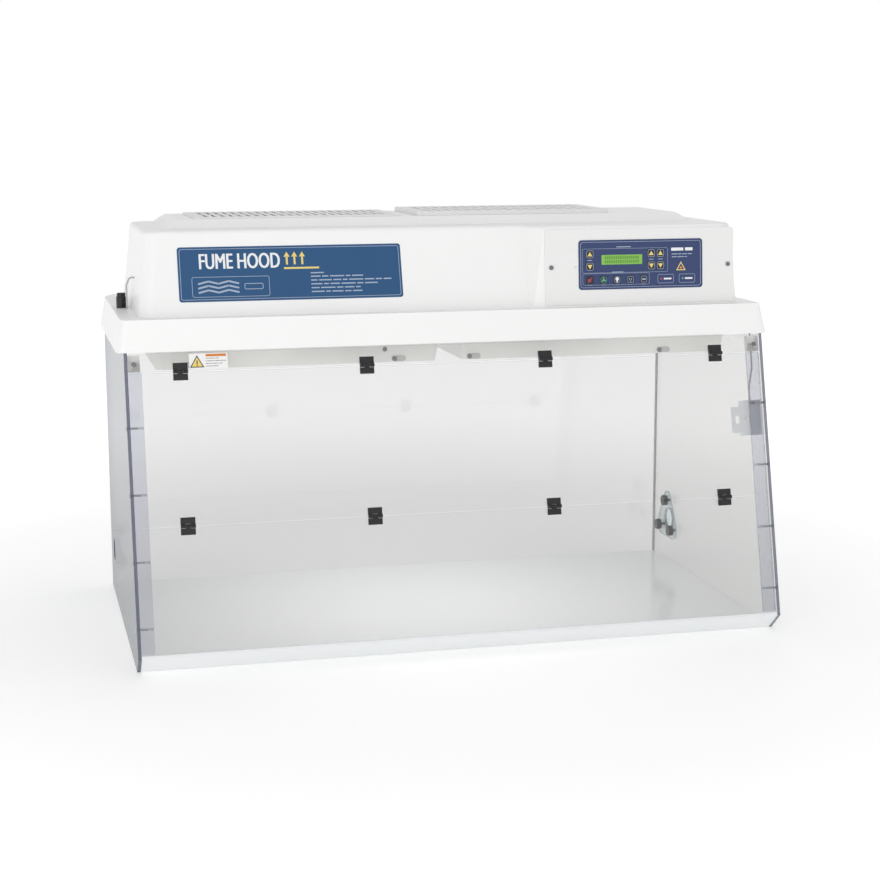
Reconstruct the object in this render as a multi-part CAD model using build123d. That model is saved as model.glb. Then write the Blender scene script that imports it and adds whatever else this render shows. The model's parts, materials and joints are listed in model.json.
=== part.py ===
"""Ductless fume hood: a clear cabinet under a moulded top that holds the filters, blowers and controls.

Millimetres, +Z up, front towards -Y.  The origin is on the bench, at the centre of the whole
footprint.  Sheet parts sit between the side panels; the doors lie in one plane that leans back.
"""
import os
from math import atan2, cos, hypot, radians, sin

from build123d import *

os.makedirs("parts", exist_ok=True)

# ---------------------------------------------------------------- overall sizes
CABINET_WIDTH = 1194.0      # over the two side panels
CABINET_DEPTH = 674.0       # side panel, from the lip corner to its back edge
CABINET_HEIGHT = 551.0      # side panel, from the bench to the underside of the top
SHEET = 6.0                 # clear polycarbonate sheet
SASH_SETBACK = 124.0        # top of the sloping front behind the lip corner
LIP_HEIGHT = 32.0           # corner where the tray's bevel meets the sloping front
LIP_SETBACK = 37.0          # foot of that bevel behind the corner
TRAY_FLOOR = 5.0            # thickness of the work tray's floor
TRAY_LIP = 4.0              # thickness of its front lip
TRAY_UPSTAND = 6.5          # lip above the corner, along the sloping front

# ---------------------------------------------------------------- moulded top
CAP_OVERHANG = 12.5         # cap past each side panel, and past the back
CAP_FRONT_OVERHANG = 2.0    # cap in front of the top of the sloping front
CAP_HEIGHT = 56.0
CAP_DRAFT = 10.0            # each wall of the cap leans in by this
CAP_FRONT_RADIUS = 14.0
CAP_BACK_RADIUS = 95.0
WALL = 4.0                  # moulded wall
HOOD_HEIGHT = 150.0         # upper housing above the cap
HOOD_SIDE = 35.5            # upper housing in from the cap's side, at the ledge
HOOD_SIDE_DRAFT = 14.0
HOOD_FRONT = 28.0           # upper housing behind the cap's front, at the ledge
HOOD_FRONT_DRAFT = 46.0
HOOD_BACK = 76.0            # upper housing in front of the cap's back, at the ledge
HOOD_BACK_DRAFT = 55.0
HOOD_CORNER = 26.0
HOOD_EDGE = 9.0
POD_LEFT = 150.0            # left foot of the control pod
POD_PROUD = 10.0            # pod in front of the upper housing, at the ledge
POD_DRAFT = 11.0            # pod's front leans back by this over its height
POD_FLANK = 0.6             # sideways run of the pod's left wall for each millimetre forward
CROWN_HEIGHT = 15.0         # bevelled platform on the roof
CROWN_SIDE = 45.0           # platform foot in from the roof's side
CROWN_FRONT = 66.0
CROWN_BACK = 15.0
CROWN_BEVEL = 20.0

# ---------------------------------------------------------------- doors and hinges, along the slope
DOOR_SIDE_GAP = 1.5         # door to side panel
DOOR_BOTTOM = 7.5           # lower door's bottom edge above the lip corner
MID_SEAM = 227.0
TOP_SEAM = 498.0
SEAM_GAP = 2.0
HINGE_OFFSET = 4.2          # hinge axis in front of the doors' outer face
HINGE_X = (-500.0, -167.0, 167.0, 500.0)
LEAF_WIDTH = 26.0
LEAF_LENGTH = 15.5          # from the axis
LEAF_THICKNESS = 2.5
KNUCKLE_RADIUS = 3.6
CENTRE_KNUCKLE = 4.4        # half the middle knuckle
PIN_RADIUS = 1.5
RUN_CLEARANCE = 0.05        # shaft in a hole, on the radius
PART_GAP = 0.3              # between pieces that move past each other
STRIP_WIDTH = 24.0
STRIP_RISE = 1.0            # strip's foot above the door's
STRIP_END = 499.0
SIDE_SCREW_S = (52.0, 168.0, 285.0, 402.0)

# ---------------------------------------------------------------- roof grilles, fittings and bosses
GRILLE_X = (-450.0, -62.0)
COVER_X = (-30.0, 350.0)
GRILLE_MARGIN = 8.0         # grille inside the platform's edge
GRILLE_RIM = 12.0           # grille's flange on the roof around its opening
GRILLE_FRAME = 4.0          # slots inside the opening
GRILLE_CORNER = 4.0
GRILLE_HEIGHT = 3.0
COVER_HEIGHT = 8.0
SLOT_ROWS = 2
SLOT_ROW_GAP = 10.0
GRILLE_SLOT = 7.0
GRILLE_PITCH = 16.0
COVER_SLOT = 8.0
COVER_PITCH = 20.0
FITTING_INSET = 17.5        # sensor fitting in from the ledge's side edge
FITTING_SETBACK = 360.0     # behind the lip corner
FITTING_RADIUS = 9.5
FITTING_NECK = 8.0
FITTING_THREAD = 7.5
FITTING_BORE = 3.0
FITTING_BODY = 21.0         # height of its wide part
FITTING_HEIGHT = 28.0
FITTING_DEPTH = 10.0        # thread below the ledge
INLET_PLACE = (-430.0, 46.0)
INLET_BODY = (46.0, 26.0)
INLET_FLANGE = (58.0, 34.0)
INLET_SOCKET = (25.0, 17.0)
INLET_RIM = 3.0             # flange's thickness and corner
INLET_DEPTH = 22.0
SOCKET_DEPTH = 16.0
INLET_PIN = (2.0, 5.0)
INLET_PIN_PITCH = 7.0
INLET_PIN_SETBACK = 2.0
BOSS_RADIUS = 7.0
BOSS_INSET = 7.0            # boss in from the cap's inner wall
BOSS_Y = (-180.0, 75.0, 235.0)

# ---------------------------------------------------------------- filters and blowers
MODULE_GAP = 34.0           # between the two filter plenums
MODULE_WIDTH = 528.0
MODULE_FRONT = 50.0         # plenum's front behind the cap's front
MODULE_DEPTH = 430.0
MODULE_DROP = 38.0
MODULE_DRAFT = 8.0
MODULE_WALL = 3.0
CEILING = 4.0
FILTER_WIDTH = 480.0
FILTER_DEPTH = 380.0
FILTER_SETBACK = 18.0       # filter behind the plenum's front wall
PREFILTER_HEIGHT = 14.0
FILTER_HEIGHT = 74.0
BLOWER_WIDTH = 250.0
BLOWER_HEIGHT = 104.0
MODULE_CORNER = 12.0
FILTER_GAP = 0.5            # filter in its opening in the ceiling
FLANGE = 15.0               # plenum's flange under the prefilter's edge
PREFILTER_RIM = 14.0
PREFILTER_DISH = 2.0
FILTER_RIM = 16.0
FILTER_DISH = 4.0
BLOWER_WALL = 2.0
IMPELLER_RADIUS = 95.0
IMPELLER_HEIGHT = 56.0
WHEEL_PLATE = 3.0
WHEEL_EYE = 68.0            # opening of the wheel's inlet ring
BLOWER_EYE = 72.0           # opening of the blower's floor
HUB_RADIUS = 16.0
HUB_HEIGHT = 18.0
BLADES = 9
BLADE_LENGTH = 40.0
BLADE_THICKNESS = 2.0
BLADE_CIRCLE = 76.0
BLADE_ANGLE = 38.0
MOTOR_RADIUS = 38.0
MOTOR_HEIGHT = 40.0
MOTOR_CORNER = 4.0
MOTOR_BAR = (34.0, 3.0)     # width and thickness
WHEEL_GAP = 1.0             # wheel to motor
SHAFT_RADIUS = 4.0
SHAFT_SPACE = 8.0           # motor's solid end above its shaft bore
SHAFT_END = 12.0            # shaft's end below the motor's top
CLIP_X = (-489.0, -104.0, 38.0, 410.0)
CLIP_HEIGHT = 6.5           # clip's pivot above the plenum's underside
CLIP_TAIL = 5.0             # clip behind its pivot
CLIP_REACH = 21.0
CLIP_WIDTH = 10.0
CLIP_THICKNESS = 2.5
CLIP_CORNER = 4.5
EARTH_SCREW = (-121.6, 24.0)

# ---------------------------------------------------------------- lamp
LAMP_LENGTH = 600.0
LAMP_RADIUS = 8.0
LAMP_CLEARANCE = 8.0        # lamp above the ceiling
LAMP_SLOT = 26.0
REFLECTOR_HEIGHT = 30.0
REFLECTOR_WALL = 1.5
REFLECTOR_LAP = 4.0         # reflector past the slot
REFLECTOR_END = 14.0

# ---------------------------------------------------------------- control panel, on the pod's face
PLATE_WIDTH = 372.0
PLATE_HEIGHT = 139.0
PLATE_CENTRE = (363.5, 73.5)
PLATE_THICKNESS = 2.5
KEYPAD_WIDTH = 244.0
KEYPAD_HEIGHT = 91.5
KEYPAD_CENTRE = (364.2, 77.0)
KEYPAD_THICKNESS = 0.8
KEY_PROUD = 0.6
KEY_GAP = 0.25
ARROW_KEY = (15.0, 15.5)
ARROW_COLUMNS = {"menu": 264.0, "value": 384.5, "set": 402.5}
ARROW_ROWS = {"up": 97.0, "down": 74.0}
ROUND_KEY_NAMES = ("mute", "fan", "light", "outlet", "aux")
ROUND_KEY = (14.0, 15.0)
ROUND_KEY_FIRST = 264.0
ROUND_KEY_PITCH = 26.4
ROUND_KEY_ROW = 49.0
PLATE_CORNER = 5.0
KEYPAD_CORNER = 6.0
KEY_CORNER = 2.0
KEY_ROOT = 1.0              # key behind the plate's back
PLATE_SCREW_INSET = 12.0
SOUNDER_HOLE = (236.4, 73.5)
SOUNDER_RADIUS = 2.0
PANEL_CUTOUT = (250.0, 96.0)
LCD_WINDOW = (80.0, 18.0)
LCD_CENTRE = (326.8, 86.0)
LCD_BODY = (96.0, 34.0)
LCD_DEPTH = 8.0
LCD_SETBACK = 0.3           # window below the keypad's face
BOARD = (236.0, 84.0)
BOARD_DEPTH = 12.0
BOARD_THICKNESS = 1.6
STANDOFF_RADIUS = 2.5
STANDOFF_INSET = 6.0
# Chips on the board: place from its centre, size and height.
CHIPS = (
    (-80.0, 20.0, (30.0, 24.0), 14.0),
    (-20.0, 10.0, (14.0, 14.0), 2.0),
    (25.0, 22.0, (22.0, 8.0), 9.0),
    (80.0, 12.0, (26.0, 34.0), 18.0),
)
LABEL_SIZE = (406.0, 99.5)
LABEL_CENTRE = (-290.0, 76.4)
LABEL_THICKNESS = 0.6
LABEL_CORNER = 5.0

# ---------------------------------------------------------------- ports in the side panels
PORT_DEPTH = 95.0           # port's centre in front of the panel's back edge
PORT_HEIGHT = 96.0
PORT_RADIUS = 22.5
KNOB_CIRCLE = 40.0
KNOB_ANGLES = (90.0, -30.0, 210.0)
KNOB_RADIUS = 11.0
KNOB_LENGTH = 10.0
KNOB_SHAFT = 2.9
COVER_THICKNESS = 4.0
COVER_EDGE = 20.0           # cover past the knobs' centres
KNOB_GRIPS = 8
GRIP_RADIUS = 2.4
GRIP_OFFSET = 1.2           # grip's centre outside the knob's rim
SHAFT_SETBACK = 0.5         # knob's shaft inside the panel's outer face

# ---------------------------------------------------------------- door switch and leads
SWITCH_WIDTH = 36.0
SWITCH_S = (342.0, 408.0)
SWITCH_GAP = 0.7            # behind the sealing strip
SWITCH_DEPTH = 20.0
BRACKET_WIDTH = 24.0
BRACKET_S = (347.0, 396.0)
BRACKET_THICKNESS = 2.0
BRACKET_SLOT = (16.0, 8.0)
PLUNGER_INSET = 30.0        # plunger in from the side panel
PLUNGER_S = 372.0
PLUNGER_RADIUS = 3.0
PLUNGER_LENGTH = 13.0
PLUNGER_TRAVEL = 2.0
PLUNGER_SPARE = 1.0         # bore past the plunger's travel
LEAD_RADIUS = 1.6
LEAD_INSET = 17.0           # lead in from the side panel at the switch
LEAD_STEP = 9.0             # lead's upper run is nearer the side panel by this
LEAD_BENDS = (24.0, 62.0)   # ends of its straight runs above the switch
LEAD_BEND = 45.0
TUBE_BEND = 7.0
TUBE_HEIGHT = 58.0          # tube's port above the ledge
TUBE_SETBACK = 25.0         # tube in front of the sensor fitting

# ---------------------------------------------------------------- fasteners
SCREW_SHANK = 2.0
SCREW_HEAD = 4.2
HEAD_HEIGHT = 2.0
SIDE_SCREW_LENGTH = 20.0
BLOCK_WIDTH = 22.0          # nylon blocks that hold the header
BLOCK_DEPTH = 12.0
HEADER_GAP = 2.0            # header below the top's underside
HEADER_SCREW_S = 513.0

# ---------------------------------------------------------------- derived places
half_width = CABINET_WIDTH / 2
inner_half = half_width - SHEET
cap_half = half_width + CAP_OVERHANG
total_depth = CABINET_DEPTH + CAP_OVERHANG
front_y = -total_depth / 2                      # the lip corner
back_y = front_y + CABINET_DEPTH                # back edge of the side panels
sash_top_y = front_y + SASH_SETBACK
sash_angle = atan2(SASH_SETBACK, CABINET_HEIGHT - LIP_HEIGHT)
sash_length = hypot(SASH_SETBACK, CABINET_HEIGHT - LIP_HEIGHT)
cap_front_y = sash_top_y - CAP_FRONT_OVERHANG
cap_back_y = back_y + CAP_OVERHANG
ledge_z = CABINET_HEIGHT + CAP_HEIGHT
roof_z = ledge_z + HOOD_HEIGHT
crown_z = roof_z + CROWN_HEIGHT
door_half = inner_half - DOOR_SIDE_GAP
module_centre_x = (MODULE_GAP + MODULE_WIDTH) / 2
module_front_y = cap_front_y + MODULE_FRONT
module_bottom_z = CABINET_HEIGHT - MODULE_DROP

# The sloping front: x across, y up the slope, z outwards.
SASH = Plane(origin=(0, front_y, LIP_HEIGHT), x_dir=(1, 0, 0), z_dir=(0, -cos(sash_angle), sin(sash_angle)))


# ---------------------------------------------------------------- helpers
def save(solid, name):
    """Write one node."""
    solid.label = name
    export_step(solid, f"parts/{name}.step")
    return solid


def slab(plane, x_range, y_range, z_range, radius=0.0):
    """A flat piece on a plane, with its corners rounded in that plane."""
    width = x_range[1] - x_range[0]
    height = y_range[1] - y_range[0]
    outline = RectangleRounded(width, height, radius) if radius else Rectangle(width, height)
    place = Pos(sum(x_range) / 2, sum(y_range) / 2, z_range[0])
    return plane * place * extrude(outline, z_range[1] - z_range[0])


def rod(plane, centre, radius, z_range):
    """A round bar that stands on a plane."""
    place = Pos(centre[0], centre[1], z_range[0])
    return plane * place * extrude(Circle(radius), z_range[1] - z_range[0])


def bar_x(centre, radius, x_range):
    """A round bar along X."""
    plane = Plane.YZ.offset(x_range[0])
    return plane * Pos(centre[0], centre[1]) * extrude(Circle(radius), x_range[1] - x_range[0])


def prism_x(points, x_range):
    """A profile in Y and Z, run along X."""
    outline = make_face(Polyline(*points, close=True))
    return Plane.YZ.offset(x_range[0]) * extrude(outline, x_range[1] - x_range[0])


def group(pieces):
    """Separate solids in one node."""
    return Compound(children=list(pieces))


# ---------------------------------------------------------------- cabinet of clear sheet and white tray
def side_panel(side):
    """Sloped side panel with its port and the holes of the cover's knobs."""
    outline = [
        (front_y + LIP_SETBACK, 0),
        (back_y, 0),
        (back_y, CABINET_HEIGHT),
        (sash_top_y, CABINET_HEIGHT),
        (front_y, LIP_HEIGHT),
    ]
    span = sorted((side * inner_half, side * half_width))
    panel = prism_x(outline, span)
    panel -= bar_x(port_centre, PORT_RADIUS, span)
    for centre in knob_centres:
        panel -= bar_x(centre, KNOB_SHAFT + RUN_CLEARANCE, span)
    for centre in side_screw_centres:
        panel -= bar_x(centre, SCREW_SHANK, span)
    return panel


port_centre = (back_y - PORT_DEPTH, PORT_HEIGHT)
knob_centres = [
    (port_centre[0] + KNOB_CIRCLE * cos(radians(a)), port_centre[1] + KNOB_CIRCLE * sin(radians(a)))
    for a in KNOB_ANGLES
]
strip_depth = SHEET + PART_GAP                  # strips start this far behind the slope
screw_line = strip_depth + SHEET / 2
side_screw_points = [SASH * Pos(0, s, -screw_line) for s in SIDE_SCREW_S]
side_screw_centres = [(p.position.Y, p.position.Z) for p in side_screw_points]

side_panels = {side: side_panel(sign) for side, sign in (("left", -1), ("right", 1))}
for side, panel in side_panels.items():
    save(panel, f"side_panel_{side}")

back_x = (-inner_half, inner_half)
save(slab(Plane.XY, back_x, (back_y - SHEET, back_y), (0, CABINET_HEIGHT)), "back_panel")


def work_tray():
    """Flat floor, a bevelled front and a short lip that follows the slope."""
    bevel = Vector(0, LIP_SETBACK, -LIP_HEIGHT).normalized()
    slope = Vector(0, sin(sash_angle), cos(sash_angle))
    bevel_in = Vector(0, -bevel.Z, bevel.Y)
    slope_in = Vector(0, slope.Z, -slope.Y)
    corner = Vector(0, front_y, LIP_HEIGHT)
    inner_corner = corner + (bevel_in + slope_in) * (TRAY_LIP / (1 + bevel_in.dot(slope_in)))
    lip_top = corner + slope * TRAY_UPSTAND
    run_down = (inner_corner.Z - TRAY_FLOOR) / -bevel.Z
    floor_start = inner_corner + bevel * run_down
    outline = [
        (front_y + LIP_SETBACK, 0),
        (back_y - SHEET, 0),
        (back_y - SHEET, TRAY_FLOOR),
        (floor_start.Y, TRAY_FLOOR),
        (inner_corner.Y, inner_corner.Z),
        ((lip_top + slope_in * TRAY_LIP).Y, (lip_top + slope_in * TRAY_LIP).Z),
        (lip_top.Y, lip_top.Z),
        (front_y, LIP_HEIGHT),
    ]
    return prism_x(outline, back_x)


save(work_tray(), "work_tray")

header_top = sash_length - HEADER_GAP
header = slab(SASH, (-door_half, door_half), (TOP_SEAM + SEAM_GAP / 2, header_top), (-SHEET, 0))
block_span = (STRIP_END + SEAM_GAP, header_top - HEADER_GAP)
header_screws = [(side * (inner_half - BLOCK_WIDTH / 2), HEADER_SCREW_S) for side in (-1, 1)]
for centre in header_screws:
    header -= rod(SASH, centre, SCREW_SHANK, (-SHEET, 0))
save(header, "front_header")

blocks = []
strips = []
for side in (-1, 1):
    block_x = sorted((side * inner_half, side * (inner_half - BLOCK_WIDTH)))
    strip_x = sorted((side * inner_half, side * (inner_half - STRIP_WIDTH)))
    block = slab(SASH, block_x, block_span, (-SHEET - BLOCK_DEPTH, -SHEET))
    strip = slab(SASH, strip_x, (DOOR_BOTTOM + STRIP_RISE, STRIP_END), (-strip_depth - SHEET, -strip_depth))
    for centre in side_screw_centres:
        strip -= bar_x(centre, SCREW_SHANK, strip_x)
    for centre in header_screws:
        block -= rod(SASH, centre, SCREW_SHANK, (-SHEET - BLOCK_DEPTH, -SHEET))
    blocks.append(block)
    strips.append(strip)
save(group(blocks), "corner_blocks")
save(group(strips), "door_strips")

side_screws = []
for side in (-1, 1):
    for centre in side_screw_centres:
        shank_x = sorted((side * half_width, side * (half_width - SIDE_SCREW_LENGTH)))
        head_x = sorted((side * half_width, side * (half_width + HEAD_HEIGHT)))
        shank = bar_x(centre, SCREW_SHANK, shank_x)
        head = bar_x(centre, SCREW_HEAD, head_x)
        side_screws.append(shank + head)
save(group(side_screws), "strip_screws")


# ---------------------------------------------------------------- moulded top
def plan(x_half, y_front, y_back, z, r_front, r_back):
    """Rectangle in plan with its own front and back corner radii."""
    outline = Rectangle(2 * x_half, y_back - y_front)
    outline = Pos(0, (y_front + y_back) / 2) * outline
    by_y = outline.vertices().group_by(Axis.Y)
    outline = fillet(by_y[0], r_front)
    outline = fillet(outline.vertices().group_by(Axis.Y)[-1], r_back)
    return Pos(0, 0, z) * outline


def polygon(points, z):
    return Pos(0, 0, z) * make_face(Polyline(*points, close=True))


def frustum(low, high):
    """Straight-sided solid between two outlines."""
    return loft([low, high], ruled=True)


def cap_body(wall):
    """Low drafted box that sits on the cabinet."""
    low = plan(cap_half - wall, cap_front_y + wall, cap_back_y - wall, CABINET_HEIGHT,
               CAP_FRONT_RADIUS - wall, CAP_BACK_RADIUS - wall)
    inset = CAP_DRAFT + wall
    high = plan(cap_half - inset, cap_front_y + inset, cap_back_y - inset, ledge_z - wall,
                CAP_FRONT_RADIUS - wall, CAP_BACK_RADIUS - wall)
    return frustum(low, high)


hood_half_low = cap_half - CAP_DRAFT - HOOD_SIDE
hood_half_high = hood_half_low - HOOD_SIDE_DRAFT
hood_front_low = cap_front_y + CAP_DRAFT + HOOD_FRONT
hood_front_high = hood_front_low + HOOD_FRONT_DRAFT
hood_back_low = cap_back_y - CAP_DRAFT - HOOD_BACK
hood_back_high = hood_back_low - HOOD_BACK_DRAFT
pod_front_low = hood_front_low - POD_PROUD
pod_front_high = pod_front_low + POD_DRAFT


def hood_outline(half, y_front, y_back, wall):
    x_edge = half - wall
    front = y_front + wall
    back = y_back - wall
    return [(-x_edge, front), (x_edge, front), (x_edge, back), (-x_edge, back)]


def pod_outline(half, y_front, y_hood, wall):
    """The pod's left wall leans by POD_FLANK; its root lies inside the upper housing."""
    root = y_hood + CROWN_FRONT
    x_edge = half - wall
    flank = hypot(1, POD_FLANK) * wall
    x_root = POD_LEFT - POD_FLANK * (root - y_hood) + flank
    x_face = POD_LEFT + POD_FLANK * (y_hood - y_front - wall) + flank
    return [(x_root, root), (x_face, y_front + wall), (x_edge, y_front + wall), (x_edge, root)]


def upper_body(wall):
    """Upper housing and control pod, with their upright outer corners rounded."""
    floor = ledge_z - wall
    roof = roof_z - wall
    hood = frustum(polygon(hood_outline(hood_half_low, hood_front_low, hood_back_low, wall), floor),
                   polygon(hood_outline(hood_half_high, hood_front_high, hood_back_high, wall), roof))
    pod = frustum(polygon(pod_outline(hood_half_low, pod_front_low, hood_front_low, wall), floor),
                  polygon(pod_outline(hood_half_high, pod_front_high, hood_front_high, wall), roof))
    upper = hood + pod
    corners = upper.edges().filter_by(lambda e: abs(e.tangent_at(0.5).Z) > 0.9)
    corner_x = (hood_half_low + hood_half_high) / 2 - wall
    outer_corners = corners.filter_by(lambda e: abs(abs(e.center().X) - corner_x) < WALL / 2)
    return fillet(outer_corners, HOOD_CORNER - wall)


def crown_body(wall):
    edges = (hood_half_high - CROWN_SIDE, hood_front_high + CROWN_FRONT, hood_back_high - CROWN_BACK)
    foot = hood_outline(*edges, wall)
    top = hood_outline(*edges, CROWN_BEVEL + wall)
    return frustum(polygon(foot, roof_z - wall), polygon(top, crown_z - wall))


def moulded_top():
    upper = upper_body(0)
    roof_edges = upper.edges().filter_by(lambda e: abs(e.center().Z - roof_z) < 1e-3)
    upper = fillet(roof_edges, HOOD_EDGE)
    outer = cap_body(0) + upper + crown_body(0)
    inner = cap_body(WALL) + upper_body(WALL) + crown_body(WALL)
    return outer - inner


def leaning_plane(foot_y, z, lean, depth_side=-1):
    """Plane on a leaning wall: x across, y up the wall, z outwards (front walls face -Y)."""
    return Plane(
        origin=(0, foot_y, z),
        x_dir=(-depth_side, 0, 0),
        z_dir=(0, depth_side * cos(lean), sin(lean)),
    )


POD_FACE = leaning_plane(pod_front_low, ledge_z, atan2(POD_DRAFT, HOOD_HEIGHT))
HOOD_FACE = leaning_plane(hood_front_low, ledge_z, atan2(HOOD_FRONT_DRAFT, HOOD_HEIGHT))
REAR_FACE = leaning_plane(hood_back_low, ledge_z, atan2(HOOD_BACK_DRAFT, HOOD_HEIGHT), 1)
ROOF = Plane(origin=(0, 0, crown_z))

platform_front = hood_front_high + CROWN_FRONT + CROWN_BEVEL
platform_back = hood_back_high - CROWN_BACK - CROWN_BEVEL
grille_y = (platform_front + GRILLE_MARGIN, platform_back - GRILLE_MARGIN)
fitting_place = (-cap_half + CAP_DRAFT + FITTING_INSET, front_y + FITTING_SETBACK)
boss_x = cap_half - CAP_DRAFT - WALL - BOSS_RADIUS - BOSS_INSET


def centred(centre, size):
    """Two ranges for slab() from a centre and a size."""
    return (
        (centre[0] - size[0] / 2, centre[0] + size[0] / 2),
        (centre[1] - size[1] / 2, centre[1] + size[1] / 2),
    )


def shrink(span, margin):
    return (span[0] + margin, span[1] - margin)


top = moulded_top()
top -= slab(POD_FACE, *centred(KEYPAD_CENTRE, PANEL_CUTOUT), (-2 * WALL, WALL))
screw_reach = PLATE_WIDTH / 2 - PLATE_SCREW_INSET
plate_screws = [(PLATE_CENTRE[0] + side * screw_reach, PLATE_CENTRE[1]) for side in (-1, 1)]
for centre in plate_screws:
    top -= rod(POD_FACE, centre, SCREW_SHANK, (-2 * WALL, WALL))
for span in (GRILLE_X, COVER_X):
    top -= slab(ROOF, shrink(span, GRILLE_RIM), shrink(grille_y, GRILLE_RIM), (-2 * WALL, WALL))
top -= rod(Plane.XY.offset(ledge_z), fitting_place, FITTING_THREAD, (-2 * WALL, WALL))
top -= slab(REAR_FACE, *centred(INLET_PLACE, INLET_BODY), (-2 * WALL, WALL))
for side in (-1, 1):
    for y in BOSS_Y:
        boss_span = (CABINET_HEIGHT + CEILING, ledge_z - WALL / 2)
        top += rod(Plane.XY, (side * boss_x, y), BOSS_RADIUS, boss_span)
save(top, "top_housing")


# ---------------------------------------------------------------- ceiling, filters and blowers
reflector_half = LAMP_SLOT / 2 + REFLECTOR_LAP
lamp_y = cap_front_y + WALL + CAP_DRAFT + reflector_half
filter_y = module_front_y + MODULE_WALL + FILTER_SETBACK + FILTER_DEPTH / 2

ceiling_inset = WALL + PART_GAP + CAP_DRAFT * CEILING / CAP_HEIGHT
ceiling_y = (cap_front_y + ceiling_inset, cap_back_y - ceiling_inset)
ceiling_corners = (CAP_FRONT_RADIUS - WALL, CAP_BACK_RADIUS - WALL)
ceiling = plan(cap_half - ceiling_inset, *ceiling_y, CABINET_HEIGHT, *ceiling_corners)
ceiling = extrude(ceiling, CEILING)
for side in (-1, 1):
    centre = (side * module_centre_x, filter_y)
    opening = (FILTER_WIDTH + 2 * FILTER_GAP, FILTER_DEPTH + 2 * FILTER_GAP)
    ceiling -= slab(Plane.XY, *centred(centre, opening), (CABINET_HEIGHT, CABINET_HEIGHT + CEILING))
lamp_window = centred((0, lamp_y), (LAMP_LENGTH, LAMP_SLOT))
ceiling -= slab(Plane.XY, *lamp_window, (CABINET_HEIGHT, CABINET_HEIGHT + CEILING))
save(ceiling, "ceiling_panel")

MODULE_FACE = Plane(origin=(0, module_front_y, module_bottom_z), x_dir=(1, 0, 0), z_dir=(0, -1, 0))
clip_pivots = [(x, CLIP_HEIGHT) for x in CLIP_X]


def plenum(side):
    """Moulded tray under the ceiling: a flange below carries the prefilter."""
    centre_x = side * module_centre_x

    def outline(wall, draft, z):
        width = MODULE_WIDTH - 2 * draft - 2 * wall
        depth = MODULE_DEPTH - draft - 2 * wall
        place = Pos(centre_x, module_front_y + wall + depth / 2, z)
        return place * RectangleRounded(width, depth, MODULE_CORNER - wall)

    outer = frustum(outline(0, MODULE_DRAFT, module_bottom_z), outline(0, 0, CABINET_HEIGHT))
    inner_low = module_bottom_z + MODULE_WALL
    inner = frustum(outline(MODULE_WALL, MODULE_DRAFT, inner_low), outline(MODULE_WALL, 0, CABINET_HEIGHT))
    open_size = (FILTER_WIDTH - 2 * FLANGE, FILTER_DEPTH - 2 * FLANGE)
    mouth = slab(Plane.XY, *centred((centre_x, filter_y), open_size), (module_bottom_z, inner_low))
    tray = outer - inner - mouth
    for centre in [*clip_pivots, EARTH_SCREW]:
        tray -= rod(MODULE_FACE, centre, SCREW_SHANK, (-MODULE_WALL, 0))
    return tray


def framed_pad(centre_x, z_range, rim, dish):
    """Filter cartridge: a rim round a slightly recessed pleated face, top and bottom."""
    spans = centred((centre_x, filter_y), (FILTER_WIDTH, FILTER_DEPTH))
    block = slab(Plane.XY, *spans, z_range)
    hollow = [shrink(span, rim) for span in spans]
    block -= slab(Plane.XY, *hollow, (z_range[0], z_range[0] + dish))
    block -= slab(Plane.XY, *hollow, (z_range[1] - dish, z_range[1]))
    return block


prefilter_z = module_bottom_z + MODULE_WALL
filter_z = prefilter_z + PREFILTER_HEIGHT
blower_z = filter_z + FILTER_HEIGHT
sides = (-1, 1)
save(group(plenum(s) for s in sides), "filter_plenums")
prefilter_span = (prefilter_z, filter_z)
filter_span = (filter_z, blower_z)
centres_x = [s * module_centre_x for s in sides]
save(group(framed_pad(x, prefilter_span, PREFILTER_RIM, PREFILTER_DISH) for x in centres_x), "prefilters")
save(group(framed_pad(x, filter_span, FILTER_RIM, FILTER_DISH) for x in centres_x), "main_filters")

blower_top = blower_z + BLOWER_HEIGHT
motor_top = blower_top - MOTOR_BAR[1]
motor_base = motor_top - MOTOR_HEIGHT
impeller_top = motor_base - WHEEL_GAP
impeller_base = impeller_top - IMPELLER_HEIGHT


def blower_housing(centre):
    size = (BLOWER_WIDTH, BLOWER_WIDTH)
    inside = (BLOWER_WIDTH - 2 * BLOWER_WALL, BLOWER_WIDTH - 2 * BLOWER_WALL)
    box = slab(Plane.XY, *centred(centre, size), (blower_z, blower_top))
    box -= slab(Plane.XY, *centred(centre, inside), (blower_z + BLOWER_WALL, blower_top))
    box -= rod(Plane.XY, centre, BLOWER_EYE, (blower_z, blower_z + BLOWER_WALL))
    box += slab(Plane.XY, *centred(centre, (BLOWER_WIDTH, MOTOR_BAR[0])), (motor_top, blower_top))
    return box


def blower_motor(centre):
    motor = rod(Plane.XY, centre, MOTOR_RADIUS, (motor_base, motor_top))
    motor = fillet(motor.edges().group_by(Axis.Z)[0], MOTOR_CORNER)
    return motor - rod(Plane.XY, centre, SHAFT_RADIUS + RUN_CLEARANCE, (motor_base, motor_top - SHAFT_SPACE))


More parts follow.
